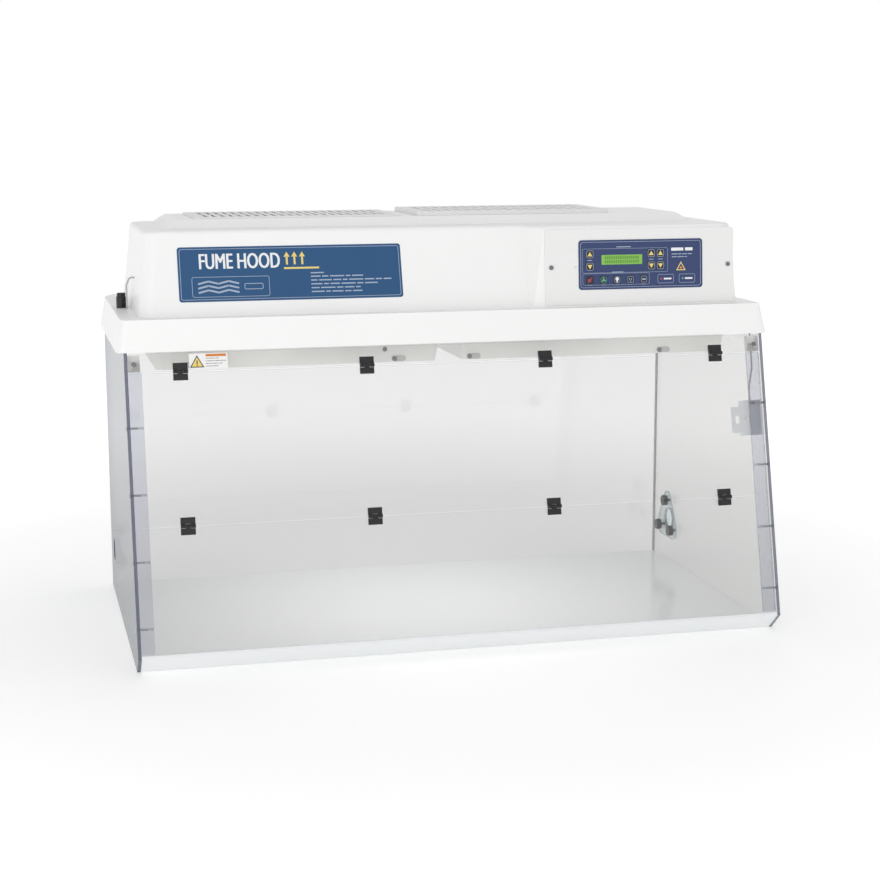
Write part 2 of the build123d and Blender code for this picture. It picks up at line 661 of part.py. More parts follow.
def impeller(centre):
    """Backward-curved wheel: back plate, inlet ring, blades, hub and shaft."""
    back = (impeller_top - WHEEL_PLATE, impeller_top)
    front = (impeller_base, impeller_base + WHEEL_PLATE)
    wheel = rod(Plane.XY, centre, IMPELLER_RADIUS, back)
    wheel += rod(Plane.XY, centre, IMPELLER_RADIUS, front) - rod(Plane.XY, centre, WHEEL_EYE, front)
    wheel += rod(Plane.XY, centre, HUB_RADIUS, (impeller_top - HUB_HEIGHT, impeller_top))
    blade = slab(Plane.XY, *centred((0, 0), (BLADE_LENGTH, BLADE_THICKNESS)), (impeller_base, back[0]))
    for i in range(BLADES):
        turn = Rot(0, 0, 360 / BLADES * i) * Pos(BLADE_CIRCLE, 0, 0) * Rot(0, 0, BLADE_ANGLE)
        wheel += Pos(*centre) * turn * blade
    return wheel + rod(Plane.XY, centre, SHAFT_RADIUS, (impeller_top, motor_top - SHAFT_END))


blower_centres = {"left": (-module_centre_x, filter_y), "right": (module_centre_x, filter_y)}
save(group(blower_housing(c) for c in blower_centres.values()), "blower_housings")
save(group(blower_motor(c) for c in blower_centres.values()), "blower_motors")
for side, centre in blower_centres.items():
    save(impeller(centre), f"impeller_{side}")


def slotted(x_span, height, pitch, slot_width):
    """Plate on the roof with rows of slots across its opening."""
    plate = slab(ROOF, x_span, grille_y, (0, height), GRILLE_CORNER)
    inner_x = shrink(x_span, GRILLE_RIM + GRILLE_FRAME)
    inner_y = shrink(grille_y, GRILLE_RIM + GRILLE_FRAME)
    step = (inner_y[1] - inner_y[0] + SLOT_ROW_GAP) / SLOT_ROWS
    count = int((inner_x[1] - inner_x[0]) // pitch)
    first_x = (sum(inner_x) - (count - 1) * pitch) / 2
    cuts = []
    for row in range(SLOT_ROWS):
        slot_y = (inner_y[0] + row * step, inner_y[0] + (row + 1) * step - SLOT_ROW_GAP)
        for i in range(count):
            centre_x = first_x + i * pitch
            slot_x = (centre_x - slot_width / 2, centre_x + slot_width / 2)
            cuts.append(slab(ROOF, slot_x, slot_y, (0, height)))
    return plate - cuts


save(slotted(GRILLE_X, GRILLE_HEIGHT, GRILLE_PITCH, GRILLE_SLOT), "exhaust_grille")
save(slotted(COVER_X, COVER_HEIGHT, COVER_PITCH, COVER_SLOT), "exhaust_cover")

# ---------------------------------------------------------------- lamp above its window in the ceiling
lamp_floor = CABINET_HEIGHT + CEILING
lamp_span = (-LAMP_LENGTH / 2, LAMP_LENGTH / 2)
reflector_span = shrink(lamp_span, -REFLECTOR_END)
reflector_y = (lamp_y - reflector_half, lamp_y + reflector_half)
reflector = slab(Plane.XY, reflector_span, reflector_y, (lamp_floor, lamp_floor + REFLECTOR_HEIGHT))
hollow_y = shrink(reflector_y, REFLECTOR_WALL)
hollow_z = (lamp_floor, lamp_floor + REFLECTOR_HEIGHT - REFLECTOR_WALL)
reflector -= slab(Plane.XY, lamp_span, hollow_y, hollow_z)
save(reflector, "lamp_reflector")
lamp_centre = (lamp_y, lamp_floor + LAMP_CLEARANCE + LAMP_RADIUS)
save(bar_x(lamp_centre, LAMP_RADIUS, lamp_span), "lamp_tube")

# ---------------------------------------------------------------- control panel
plate_top = PLATE_THICKNESS
keypad_top = PLATE_THICKNESS + KEYPAD_THICKNESS
keys = {}
for column, x in ARROW_COLUMNS.items():
    for row, v in ARROW_ROWS.items():
        keys[f"key_{column}_{row}"] = ((x, v), ARROW_KEY)
for i, name in enumerate(ROUND_KEY_NAMES):
    keys[f"key_{name}"] = ((ROUND_KEY_FIRST + i * ROUND_KEY_PITCH, ROUND_KEY_ROW), ROUND_KEY)

plate = slab(POD_FACE, *centred(PLATE_CENTRE, (PLATE_WIDTH, PLATE_HEIGHT)), (0, plate_top), PLATE_CORNER)
keypad_spans = centred(KEYPAD_CENTRE, (KEYPAD_WIDTH, KEYPAD_HEIGHT))
keypad = slab(POD_FACE, *keypad_spans, (plate_top, keypad_top), KEYPAD_CORNER)
lcd_spans = centred(LCD_CENTRE, LCD_WINDOW)
plate -= slab(POD_FACE, *lcd_spans, (0, plate_top))
keypad -= slab(POD_FACE, *lcd_spans, (plate_top, keypad_top))
plate -= rod(POD_FACE, SOUNDER_HOLE, SOUNDER_RADIUS, (0, plate_top))
for centre in plate_screws:
    plate -= rod(POD_FACE, centre, SCREW_SHANK, (0, plate_top))
for centre, size in keys.values():
    pocket = (size[0] + 2 * KEY_GAP, size[1] + 2 * KEY_GAP)
    plate -= slab(POD_FACE, *centred(centre, pocket), (0, plate_top), KEY_CORNER + KEY_GAP)
    keypad -= slab(POD_FACE, *centred(centre, pocket), (plate_top, keypad_top), KEY_CORNER + KEY_GAP)
save(plate, "control_plate")
save(keypad, "keypad_overlay")
for name, (centre, size) in keys.items():
    save(slab(POD_FACE, *centred(centre, size), (-KEY_ROOT, keypad_top + KEY_PROUD), KEY_CORNER), name)

lcd = slab(POD_FACE, *lcd_spans, (0, keypad_top - LCD_SETBACK))
lcd += slab(POD_FACE, *centred(LCD_CENTRE, LCD_BODY), (-LCD_DEPTH, 0))
save(lcd, "lcd_module")

board_spans = centred(KEYPAD_CENTRE, BOARD)
board = slab(POD_FACE, *board_spans, (-BOARD_DEPTH - BOARD_THICKNESS, -BOARD_DEPTH))
for x in shrink(board_spans[0], STANDOFF_INSET):
    for v in shrink(board_spans[1], STANDOFF_INSET):
        board += rod(POD_FACE, (x, v), STANDOFF_RADIUS, (-BOARD_DEPTH, 0))
chip_back = -BOARD_DEPTH - BOARD_THICKNESS
for x, v, size, height in CHIPS:
    centre = (KEYPAD_CENTRE[0] + x, KEYPAD_CENTRE[1] + v)
    board += slab(POD_FACE, *centred(centre, size), (chip_back - height, chip_back))
save(board, "controller_board")

label_spans = centred(LABEL_CENTRE, LABEL_SIZE)
save(slab(HOOD_FACE, *label_spans, (0, LABEL_THICKNESS), LABEL_CORNER), "front_label")

# ---------------------------------------------------------------- fittings on the top
ledge = Plane.XY.offset(ledge_z)
fitting = rod(ledge, fitting_place, FITTING_RADIUS, (0, FITTING_BODY))
fitting += rod(ledge, fitting_place, FITTING_NECK, (FITTING_BODY, FITTING_HEIGHT))
fitting += rod(ledge, fitting_place, FITTING_THREAD, (-FITTING_DEPTH, 0))
fitting -= rod(ledge, fitting_place, FITTING_BORE, (-FITTING_DEPTH, FITTING_HEIGHT))
save(fitting, "sensor_fitting")

inlet = slab(REAR_FACE, *centred(INLET_PLACE, INLET_FLANGE), (0, INLET_RIM), INLET_RIM)
inlet += slab(REAR_FACE, *centred(INLET_PLACE, INLET_BODY), (-INLET_DEPTH, 0))
inlet -= slab(REAR_FACE, *centred(INLET_PLACE, INLET_SOCKET), (-SOCKET_DEPTH, INLET_RIM))
for step in (-1, 0, 1):
    pin_centre = (INLET_PLACE[0] + step * INLET_PIN_PITCH, INLET_PLACE[1])
    inlet += slab(REAR_FACE, *centred(pin_centre, INLET_PIN), (-SOCKET_DEPTH, -INLET_PIN_SETBACK))
save(inlet, "power_inlet")

# ---------------------------------------------------------------- doors and their hinges
door_x = (-door_half, door_half)
save(slab(SASH, door_x, (MID_SEAM + SEAM_GAP / 2, TOP_SEAM - SEAM_GAP / 2), (-SHEET, 0)), "upper_door_panel")
save(slab(SASH, door_x, (DOOR_BOTTOM, MID_SEAM - SEAM_GAP / 2), (-SHEET, 0)), "lower_door_panel")

knuckle_clear = KNUCKLE_RADIUS + PART_GAP


def knuckle(x_range, seam, bore):
    start = SASH * Pos(x_range[0], seam, HINGE_OFFSET) * Rot(0, 90, 0)
    length = x_range[1] - x_range[0]
    return start * extrude(Circle(KNUCKLE_RADIUS) - Circle(bore), length)


def leaf_pair(x, seam):
    """Upper leaf with the outer knuckles and the pin, and lower leaf with the middle knuckle."""
    half = LEAF_WIDTH / 2
    wide = (x - half, x + half)
    split = CENTRE_KNUCKLE + PART_GAP
    outer = ((x - half, x - split), (x + split, x + half))
    middle = (x - CENTRE_KNUCKLE, x + CENTRE_KNUCKLE)
    skin = (0, LEAF_THICKNESS)
    upper = slab(SASH, wide, (seam + knuckle_clear, seam + LEAF_LENGTH), skin)
    for span in outer:
        upper += slab(SASH, span, (seam + SEAM_GAP / 2, seam + knuckle_clear), skin)
        upper += knuckle(span, seam, PIN_RADIUS)
    lower = slab(SASH, wide, (seam - LEAF_LENGTH, seam - knuckle_clear), skin)
    lower += slab(SASH, middle, (seam - knuckle_clear, seam - SEAM_GAP / 2), skin)
    lower += knuckle(middle, seam, PIN_RADIUS + RUN_CLEARANCE)
    pin_start = SASH * Pos(wide[0], seam, HINGE_OFFSET) * Rot(0, 90, 0)
    return upper, lower, pin_start * extrude(Circle(PIN_RADIUS), LEAF_WIDTH)


for seam, upper_name, lower_name in (
    (TOP_SEAM, "upper_hinge_fixed_leaves", "upper_hinge_door_leaves"),
    (MID_SEAM, "mid_hinge_top_leaves", "mid_hinge_bottom_leaves"),
):
    pairs = [leaf_pair(x, seam) for x in HINGE_X]
    save(group([p[0] for p in pairs] + [p[2] for p in pairs]), upper_name)
    save(group(p[1] for p in pairs), lower_name)

# ---------------------------------------------------------------- filter clips and small screws
screws = []
clip_depth = (PART_GAP, PART_GAP + CLIP_THICKNESS)
for i, (x, height) in enumerate(clip_pivots):
    clip_v = (height - CLIP_WIDTH / 2, height + CLIP_WIDTH / 2)
    clip = slab(MODULE_FACE, (x - CLIP_TAIL, x + CLIP_REACH), clip_v, clip_depth, CLIP_CORNER)
    clip -= rod(MODULE_FACE, (x, height), SCREW_SHANK + RUN_CLEARANCE, clip_depth)
    save(clip, f"filter_clip_{i + 1}")
    head_start = clip_depth[1] + PART_GAP
    screw = rod(MODULE_FACE, (x, height), SCREW_SHANK, (-MODULE_WALL, head_start))
    screws.append(screw + rod(MODULE_FACE, (x, height), SCREW_HEAD, (head_start, head_start + HEAD_HEIGHT)))
small = [(MODULE_FACE, EARTH_SCREW, -MODULE_WALL, 0.0)]
small += [(POD_FACE, c, -WALL, plate_top) for c in plate_screws]
small += [(SASH, c, -SHEET - BLOCK_DEPTH / 2, 0.0) for c in header_screws]
for plane, centre, tip, seat in small:
    screw = rod(plane, centre, SCREW_SHANK, (tip, seat))
    screws.append(screw + rod(plane, centre, SCREW_HEAD, (seat, seat + HEAD_HEIGHT)))
save(group(screws), "trim_screws")

# ---------------------------------------------------------------- port covers and their knobs
covers = []
for side, sign in (("left", -1), ("right", 1)):
    cover_x = sorted((sign * inner_half, sign * (inner_half - COVER_THICKNESS)))
    outline = offset(make_face(Polyline(*knob_centres, close=True)), COVER_EDGE)
    cover = Plane.YZ.offset(cover_x[0]) * extrude(outline, COVER_THICKNESS)
    seat = inner_half - COVER_THICKNESS - PART_GAP
    for i, centre in enumerate(knob_centres):
        cover -= bar_x(centre, KNOB_SHAFT + PART_GAP, cover_x)
        grip = Circle(KNOB_RADIUS)
        for turn in range(KNOB_GRIPS):
            place = Rot(0, 0, 360 / KNOB_GRIPS * turn) * Pos(KNOB_RADIUS + GRIP_OFFSET, 0)
            grip -= place * Circle(GRIP_RADIUS)
        head_x = sorted((sign * seat, sign * (seat - KNOB_LENGTH)))
        head = Plane.YZ.offset(head_x[0]) * Pos(*centre) * extrude(grip, KNOB_LENGTH)
        shaft = bar_x(centre, KNOB_SHAFT, sorted((sign * seat, sign * (half_width - SHAFT_SETBACK))))
        save(head + shaft, f"port_knob_{side}_{i + 1}")
    covers.append(cover)
save(group(covers), "port_covers")

# ---------------------------------------------------------------- door switch and its lead
switch_x = (inner_half - SWITCH_WIDTH, inner_half)
switch_front = -strip_depth - SHEET - SWITCH_GAP
switch_back = switch_front - SWITCH_DEPTH
switch = slab(SASH, switch_x, SWITCH_S, (switch_back, switch_front))
bracket_n = (switch_front - BRACKET_THICKNESS, switch_front)
switch += slab(SASH, (switch_x[0] - BRACKET_WIDTH, switch_x[0]), BRACKET_S, bracket_n)
slot_place = Pos(switch_x[0] - BRACKET_WIDTH / 2, sum(BRACKET_S) / 2, bracket_n[0])
switch -= SASH * slot_place * extrude(Rot(0, 0, 90) * SlotOverall(*BRACKET_SLOT), BRACKET_THICKNESS)
plunger = (inner_half - PLUNGER_INSET, PLUNGER_S)
plunger_tip = -SHEET - PART_GAP
plunger_root = plunger_tip - PLUNGER_LENGTH
bore = (plunger_root - PLUNGER_TRAVEL - PLUNGER_SPARE, switch_front)
switch -= rod(SASH, plunger, PLUNGER_RADIUS + RUN_CLEARANCE, bore)
save(switch, "interlock_switch")
save(rod(SASH, plunger, PLUNGER_RADIUS, (plunger_root, plunger_tip)), "interlock_plunger")

lead_n = switch_front - SWITCH_DEPTH / 2
lead_x = inner_half - LEAD_INSET
lead_side_x = lead_x + LEAD_STEP
lead_top_z = CABINET_HEIGHT - LEAD_RADIUS
lead_top = (lead_top_z - LIP_HEIGHT - lead_n * sin(sash_angle)) / cos(sash_angle)
lead_route = (
    (lead_x, SWITCH_S[1]),
    (lead_x, SWITCH_S[1] + LEAD_BENDS[0]),
    (lead_side_x, SWITCH_S[1] + LEAD_BENDS[1]),
    (lead_side_x, lead_top),
)
lead_points = [(SASH * Pos(x, s, lead_n)).position for x, s in lead_route]


def lead(points, radius, bend):
    path = FilletPolyline(*points, radius=bend)
    start = Plane(origin=path @ 0, z_dir=path % 0)
    return sweep(start * Circle(radius), path)


tube_y = fitting_place[1] - TUBE_SETBACK
tube_wall_x = -hood_half_low + TUBE_HEIGHT * HOOD_SIDE_DRAFT / HOOD_HEIGHT
tube_z = ledge_z + TUBE_HEIGHT
tube_points = [
    (tube_wall_x - PART_GAP, tube_y, tube_z),
    (tube_wall_x - 9, tube_y, tube_z),
    (tube_wall_x - 15, tube_y, tube_z - 14),
    (tube_wall_x - 15, tube_y, ledge_z),
]
leads = [lead(lead_points, LEAD_RADIUS, LEAD_BEND), lead(tube_points, LEAD_RADIUS, TUBE_BEND)]
save(group(leads), "leads")
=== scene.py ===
"""Looks of a benchtop ductless fume hood: clear cabinet, two folding doors, moulded white top.

Metres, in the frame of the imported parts: +X right, +Y back, +Z up, origin on the bench.
"""
import json
from math import atan2, cos, degrees, pi, radians, sin

import bpy
from mathutils import Euler, Matrix, Vector

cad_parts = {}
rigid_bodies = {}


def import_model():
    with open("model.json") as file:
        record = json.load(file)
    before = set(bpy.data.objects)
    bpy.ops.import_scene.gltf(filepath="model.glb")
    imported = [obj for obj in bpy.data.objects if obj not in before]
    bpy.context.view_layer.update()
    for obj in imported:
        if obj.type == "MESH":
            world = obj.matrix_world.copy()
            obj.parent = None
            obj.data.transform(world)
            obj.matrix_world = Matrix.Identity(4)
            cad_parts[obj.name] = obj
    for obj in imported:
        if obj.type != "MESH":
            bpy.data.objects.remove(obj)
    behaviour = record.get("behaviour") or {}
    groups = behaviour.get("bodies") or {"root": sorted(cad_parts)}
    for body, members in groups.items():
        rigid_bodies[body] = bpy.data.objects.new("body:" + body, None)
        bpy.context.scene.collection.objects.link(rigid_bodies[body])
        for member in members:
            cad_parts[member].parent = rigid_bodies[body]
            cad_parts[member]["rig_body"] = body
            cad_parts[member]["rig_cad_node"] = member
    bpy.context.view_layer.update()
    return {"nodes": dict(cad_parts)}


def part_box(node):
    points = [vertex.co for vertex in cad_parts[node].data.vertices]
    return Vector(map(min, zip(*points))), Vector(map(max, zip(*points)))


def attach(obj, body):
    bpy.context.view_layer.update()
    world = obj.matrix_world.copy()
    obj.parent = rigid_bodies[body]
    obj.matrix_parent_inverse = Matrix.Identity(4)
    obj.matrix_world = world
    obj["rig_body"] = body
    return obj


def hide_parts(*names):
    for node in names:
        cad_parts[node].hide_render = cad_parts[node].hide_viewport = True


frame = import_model()
parts = frame["nodes"]
MM = 0.001

# ================================================================ bench, light and camera
# A matt white laminate bench in a bright room.  The bench glows more with distance, so that it
# meets the sky with no line.  Two soft lamps stand in front and above, and a third one, under the
# ceiling, takes the place of the work lamp.


def linear(hex_colour, alpha=1.0):
    """sRGB hex to linear RGBA."""
    channels = [int(hex_colour[i:i + 2], 16) / 255 for i in (0, 2, 4)]
    return (*[c / 12.92 if c <= 0.04045 else ((c + 0.055) / 1.055) ** 2.4 for c in channels], alpha)


def add_node(tree, kind, links=None, **settings):
    """Add a node. Settings name its own properties or its inputs; links feed its inputs from sockets."""
    made = tree.nodes.new("ShaderNode" + kind)
    for name, value in settings.items():
        if hasattr(made, name):
            setattr(made, name, value)
        else:
            made.inputs[name.replace("_", " ")].default_value = value
    for name, socket in (links or {}).items():
        tree.links.new(socket, made.inputs[name])
    return made


def new_material(name, **settings):
    """A material with one Principled shader; returns the material, its tree and the shader."""
    material = bpy.data.materials.new(name)
    material.use_nodes = True
    tree = material.node_tree
    shader = tree.nodes["Principled BSDF"]
    for key, value in settings.items():
        shader.inputs[key.replace("_", " ")].default_value = value
    return material, tree, shader


def only(*chosen):
    """Select these objects alone, the first one active."""
    bpy.ops.object.select_all(action="DESELECT")
    for item in chosen:
        item.select_set(True)
    bpy.context.view_layer.objects.active = chosen[0]


BENCH_SIZE = 24.0
BENCH_PATCH = 0.6  # broad, faint unevenness, which shows only as a soft change of sheen
GLOW_NEAR, GLOW_FAR = 0.25, 0.6
GLOW_FROM, GLOW_TO = 0.4, 2.6
bpy.ops.object.select_all(action="DESELECT")
bpy.ops.mesh.primitive_plane_add(size=BENCH_SIZE, location=(0, 0, 0))
bench = bpy.context.object
bench.name = "bench_sweep"
bench_paint, tree, shader = new_material("matt white laminate", Base_Color=linear("F4F4F3"), Roughness=0.55)
shader.inputs["Emission Color"].default_value = linear("FFFFFF")
unevenness = add_node(tree, "TexNoise", Scale=BENCH_SIZE / BENCH_PATCH, Detail=3.0)
place = add_node(tree, "TexCoord").outputs["Object"]
distance = add_node(tree, "VectorMath", {0: place}, operation="LENGTH")
glow = add_node(tree, "MapRange", {"Value": distance.outputs["Value"]}, interpolation_type="SMOOTHSTEP",
                From_Min=GLOW_FROM, From_Max=GLOW_TO, To_Min=GLOW_NEAR, To_Max=GLOW_FAR)
tree.links.new(glow.outputs[0], shader.inputs["Emission Strength"])
swell = add_node(tree, "Bump", {"Height": unevenness.outputs["Fac"]}, Strength=0.02)
tree.links.new(swell.outputs["Normal"], shader.inputs["Normal"])
bench.data.materials.append(bench_paint)

sky = bpy.data.worlds.new("studio sky")
bpy.context.scene.world = sky
sky.use_nodes = True
tree = sky.node_tree
direction = add_node(tree, "TexCoord").outputs["Generated"]
height = add_node(tree, "SeparateXYZ", {"Vector": direction}).outputs["Z"]
fade = add_node(tree, "ValToRGB", {"Fac": height})
near_horizon, overhead = fade.color_ramp.elements
near_horizon.position = 0.18
near_horizon.color = (1.0, 1.0, 1.0, 1)
overhead.position = 0.75
overhead.color = (0.42, 0.42, 0.43, 1)
tree.links.new(fade.outputs["Color"], tree.nodes["Background"].inputs["Color"])
tree.nodes["Background"].inputs["Strength"].default_value = 1.0

LAMP_AIM = Vector((0, 0, 0.4))
LAMPS = (  # name, place, size in metres and power in watts
    ("front_softbox", (-1.9, -3.4, 1.7), 2.4, 25.0),
    ("top_softbox", (0.6, 0.3, 3.2), 2.6, 14.0),
    ("work_light", (0.0, 0.0, 0.505), 0.5, 1.7),
)
for name, place, size, power in LAMPS:
    lamp = bpy.data.lights.new(name, "AREA")
    lamp.size = size
    lamp.energy = power
    holder = bpy.data.objects.new(name, lamp)
    bpy.context.scene.collection.objects.link(holder)
    holder.location = place
    holder.rotation_euler = (LAMP_AIM - Vector(place)).to_track_quat("-Z", "Y").to_euler()
    holder.visible_glossy = name != "work_light"

CAMERA_PLACE = (-0.80973, -3.41627, 0.94888)
CAMERA_LENS = 74.65
CAMERA_PITCH = radians(9.933)
CAMERA_YAW = radians(13.709)
CAMERA_ROLL = radians(0.157)
camera = bpy.data.objects.new("camera", bpy.data.cameras.new("camera"))
bpy.context.scene.collection.objects.link(camera)
camera.data.lens = CAMERA_LENS
camera.data.sensor_width = 36.0
camera.location = CAMERA_PLACE
camera.rotation_euler = (
    Euler((pi / 2 - CAMERA_PITCH, 0, -CAMERA_YAW)).to_matrix() @ Matrix.Rotation(-CAMERA_ROLL, 3, "Z")
).to_euler()
bpy.context.scene.camera = camera
bpy.context.scene.view_settings.view_transform = "Standard"

# ================================================================ clear cabinet sheets and doors
# Clear polycarbonate sheet, sawn to size and polished at the edges.  The faces are almost
# colourless; seen through an edge, the tint of the whole sheet adds up to a blue-grey line.
FLAT_WITHIN = radians(0.6)
SMOOTH_BELOW = radians(32)


def eased(node, name, radius, segments=2, angle=28.0):
    """A copy of a part with its edges eased: merged, its flat areas joined up, and bevelled."""
    piece = parts[node].copy()
    piece.data = parts[node].data.copy()
    piece.parent = None
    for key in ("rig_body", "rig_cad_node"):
        if key in piece:
            del piece[key]
    piece.name = name
    bpy.context.scene.collection.objects.link(piece)
    piece.hide_render = False
    only(piece)
    bpy.ops.mesh.customdata_custom_splitnormals_clear()
    bpy.ops.object.mode_set(mode="EDIT")
    bpy.ops.mesh.select_all(action="SELECT")
    bpy.ops.mesh.remove_doubles(threshold=1e-6)
    bpy.ops.mesh.dissolve_limited(angle_limit=FLAT_WITHIN)
    bpy.ops.object.mode_set(mode="OBJECT")
    bevel = piece.modifiers.new("eased edges", "BEVEL")
    bevel.width = radius
    bevel.segments = segments
    bevel.limit_method = "ANGLE"
    bevel.angle_limit = radians(angle)
    bevel.use_clamp_overlap = True
    bpy.ops.object.modifier_apply(modifier=bevel.name)
    bpy.ops.object.shade_smooth_by_angle(angle=SMOOTH_BELOW)
    flats = piece.modifiers.new("flat faces stay flat", "WEIGHTED_NORMAL")
    flats.keep_sharp = True
    bpy.ops.object.modifier_apply(modifier=flats.name)
    return piece


def finish(piece, material, body, *stands_for, slot=None):
    """Give a piece its material, its body and the parts it stands for."""
    piece.data.materials.clear()
    piece.data.materials.append(material)
    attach(piece, body)
    if stands_for:
        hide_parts(*stands_for)
    return piece


SASH_SETBACK, SASH_RISE = 0.124, 0.519
SASH_LEAN = atan2(SASH_SETBACK, SASH_RISE)
SLOPE_NORMAL = (0, -cos(SASH_LEAN), sin(SASH_LEAN))
POLYCARBONATE_IOR = 1.585
EDGE_BELOW, FACE_ABOVE = 0.5, 0.9  # how far a surface faces the sheet's normal, from 0 to 1
WIPE_MARK = 111 * MM  # width of a cleaning mark


def clear_sheet(name, face_normal, edge_hex, edge_cover, face_hex="F9F9F8", gloss_hex="FFFFFF"):
    """Clear sheet: faces that pass light and reflect at a slant, and tinted, polished edges, with a painted
    highlight where the edges face the back.
    """
    material, tree, edge_shader = new_material(name, Roughness=0.22, IOR=POLYCARBONATE_IOR)
    edge_shader.inputs["Alpha"].default_value = edge_cover
    place = add_node(tree, "TexCoord")
    facing = add_node(tree, "VectorMath", {0: place.outputs["Normal"]}, operation="DOT_PRODUCT")
    facing.inputs[1].default_value = face_normal
    size = add_node(tree, "Math", {0: facing.outputs["Value"]}, operation="ABSOLUTE")
    edge = add_node(tree, "MapRange", {"Value": size.outputs[0]},
                    From_Min=EDGE_BELOW, From_Max=FACE_ABOVE, To_Min=1.0, To_Max=0.0)
    # Edges that face the back are painted pale: a painted highlight standing in for the light of the room
    # that they would catch.
    rear = add_node(tree, "VectorMath", {0: place.outputs["Normal"]}, operation="DOT_PRODUCT")
    rear.inputs[1].default_value = (0, 1, 0)
    painted_pale_share = add_node(tree, "MapRange", {"Value": rear.outputs["Value"]},
                          From_Min=EDGE_BELOW, From_Max=FACE_ABOVE)
    edge_tint_and_painted_pale = add_node(tree, "Mix", {"Factor": painted_pale_share.outputs[0]}, data_type="RGBA")
    edge_tint_and_painted_pale.inputs["A"].default_value = linear(edge_hex)
    edge_tint_and_painted_pale.inputs["B"].default_value = linear("EEF0F3")
    tree.links.new(edge_tint_and_painted_pale.outputs["Result"], edge_shader.inputs["Base Color"])
    # The sheet reflects the same from both of its sides, so the inner side takes the inverse index.
    inner = add_node(tree, "NewGeometry").outputs["Backfacing"]
    index = add_node(tree, "MapRange", {"Value": inner},
                     To_Min=POLYCARBONATE_IOR, To_Max=1 / POLYCARBONATE_IOR)
    slant = add_node(tree, "Fresnel", {"IOR": index.outputs[0]})
    wipe = add_node(tree, "TexNoise", {"Vector": place.outputs["Object"]}, Scale=1 / WIPE_MARK, Detail=5.0)
    haze = add_node(tree, "MapRange", {"Value": wipe.outputs["Fac"]}, To_Min=0.01, To_Max=0.06)
    gloss = add_node(tree, "BsdfGlossy", {"Roughness": haze.outputs[0]}, Color=linear(gloss_hex))
    through = add_node(tree, "BsdfTransparent", Color=linear(face_hex))
    face = add_node(tree, "MixShader", {0: slant.outputs[0], 1: through.outputs[0], 2: gloss.outputs[0]})
    whole = add_node(tree, "MixShader", {0: edge.outputs[0], 1: face.outputs[0], 2: edge_shader.outputs[0]})
    tree.links.new(whole.outputs[0], tree.nodes["Material Output"].inputs["Surface"])
    return material


wall_sheet = clear_sheet("polycarbonate, side walls", (1, 0, 0), "565A6E", 0.85, "F6F6F6", "CED0D2")
back_sheet = clear_sheet("polycarbonate, back wall", (0, 1, 0), "F4F6F8", 0.5, "F2F2F3")
door_sheet = clear_sheet("polycarbonate, doors", SLOPE_NORMAL, "B4B9C0", 0.45)
strip_sheet = clear_sheet("polycarbonate, sealing strips", SLOPE_NORMAL, "9DA3B4", 0.5, "EFF0F5")
cover_sheet = clear_sheet("polycarbonate, port covers", (1, 0, 0), "A7B6BA", 0.6, "EAF2F2")

POLISH = 0.35 * MM
for node, name, body, sheet in (
    ("side_panel_left", "clear_wall_left", "cabinet", wall_sheet),
    ("side_panel_right", "clear_wall_right", "cabinet", wall_sheet),
    ("back_panel", "clear_back", "cabinet", back_sheet),
    ("front_header", "clear_header", "cabinet", door_sheet),
    ("upper_door_panel", "clear_upper_door", "upper_door", door_sheet),
    ("lower_door_panel", "clear_lower_door", "lower_door", door_sheet),
    ("door_strips", "clear_door_strips", "cabinet", strip_sheet),
    ("port_covers", "clear_port_covers", "cabinet", cover_sheet),
):
    finish(eased(node, name, POLISH), sheet, body, node, slot="clear_sheet")

# ================================================================ moulded top
# Vacuum-formed white ABS with an acrylic cap, over the filter plenums and the ceiling panel.
# Forming rounds its edges well, and the fine grain of the tool gives the faces a soft, slightly
# uneven sheen.
ACRYLIC_IOR = 1.49
MOULD_CLOUD = 167 * MM  # width of the slow changes of tone
MOULD_TONE = 0.965  # light of the darker tone
MOULD_SHEEN = (-0.06, 0.1)  # spread of roughness about its mean
MOULD_RELIEF = 0.2 * MM


def moulded_white(name, hex_colour, roughness, grain_mm, depth):
    """White moulded plastic: slow clouds of tone, and a grain in sheen and relief."""
    material, tree, shader = new_material(name, Roughness=roughness, IOR=ACRYLIC_IOR)
    place = add_node(tree, "TexCoord").outputs["Object"]
    cloud = add_node(tree, "TexNoise", {"Vector": place}, Scale=1 / MOULD_CLOUD, Detail=4.0)
    tone = add_node(tree, "Mix", {"Factor": cloud.outputs["Fac"]}, data_type="RGBA")
    tone.inputs["A"].default_value = linear(hex_colour)
    tone.inputs["B"].default_value = [c * MOULD_TONE for c in linear(hex_colour)[:3]] + [1]
    tree.links.new(tone.outputs["Result"], shader.inputs["Base Color"])
    speck = add_node(tree, "TexNoise", {"Vector": place}, Scale=1 / (grain_mm * MM), Detail=2.0)
    spread = add_node(tree, "MapRange", {"Value": speck.outputs["Fac"]},
                      To_Min=roughness + MOULD_SHEEN[0], To_Max=roughness + MOULD_SHEEN[1])
    tree.links.new(spread.outputs[0], shader.inputs["Roughness"])
    bump = add_node(tree, "Bump", {"Height": speck.outputs["Fac"]}, Strength=depth, Distance=MOULD_RELIEF)
    tree.links.new(bump.outputs["Normal"], shader.inputs["Normal"])
    return material


top_white = moulded_white("vacuum-formed ABS, fine grain", "F6F6F5", 0.34, 1.6, 0.35)
for node, name, radius, segments, angle in (
    ("top_housing", "moulded_top", 3.0, 3, 30.0),
    ("filter_plenums", "moulded_plenums", 2.4, 3, 25.0),
    ("ceiling_panel", "flat_ceiling", 0.8, 2, 28.0),
):
    shell = eased(node, name, radius * MM, segments, angle)
    finish(shell, top_white, "cabinet", node, slot="white_moulding")

# ================================================================ work tray
# White floor with a bevelled front and a short lip, formed from acrylic-capped sheet, between the
# side panels.  Its polished face mirrors what stands on it.
tray_white = moulded_white("polished white acrylic", "EEF0F1", 0.12, 4.0, 0.03)
tray = eased("work_tray", "white_tray", 1.2 * MM, segments=3)
finish(tray, tray_white, "cabinet", "work_tray", slot="white_moulding")

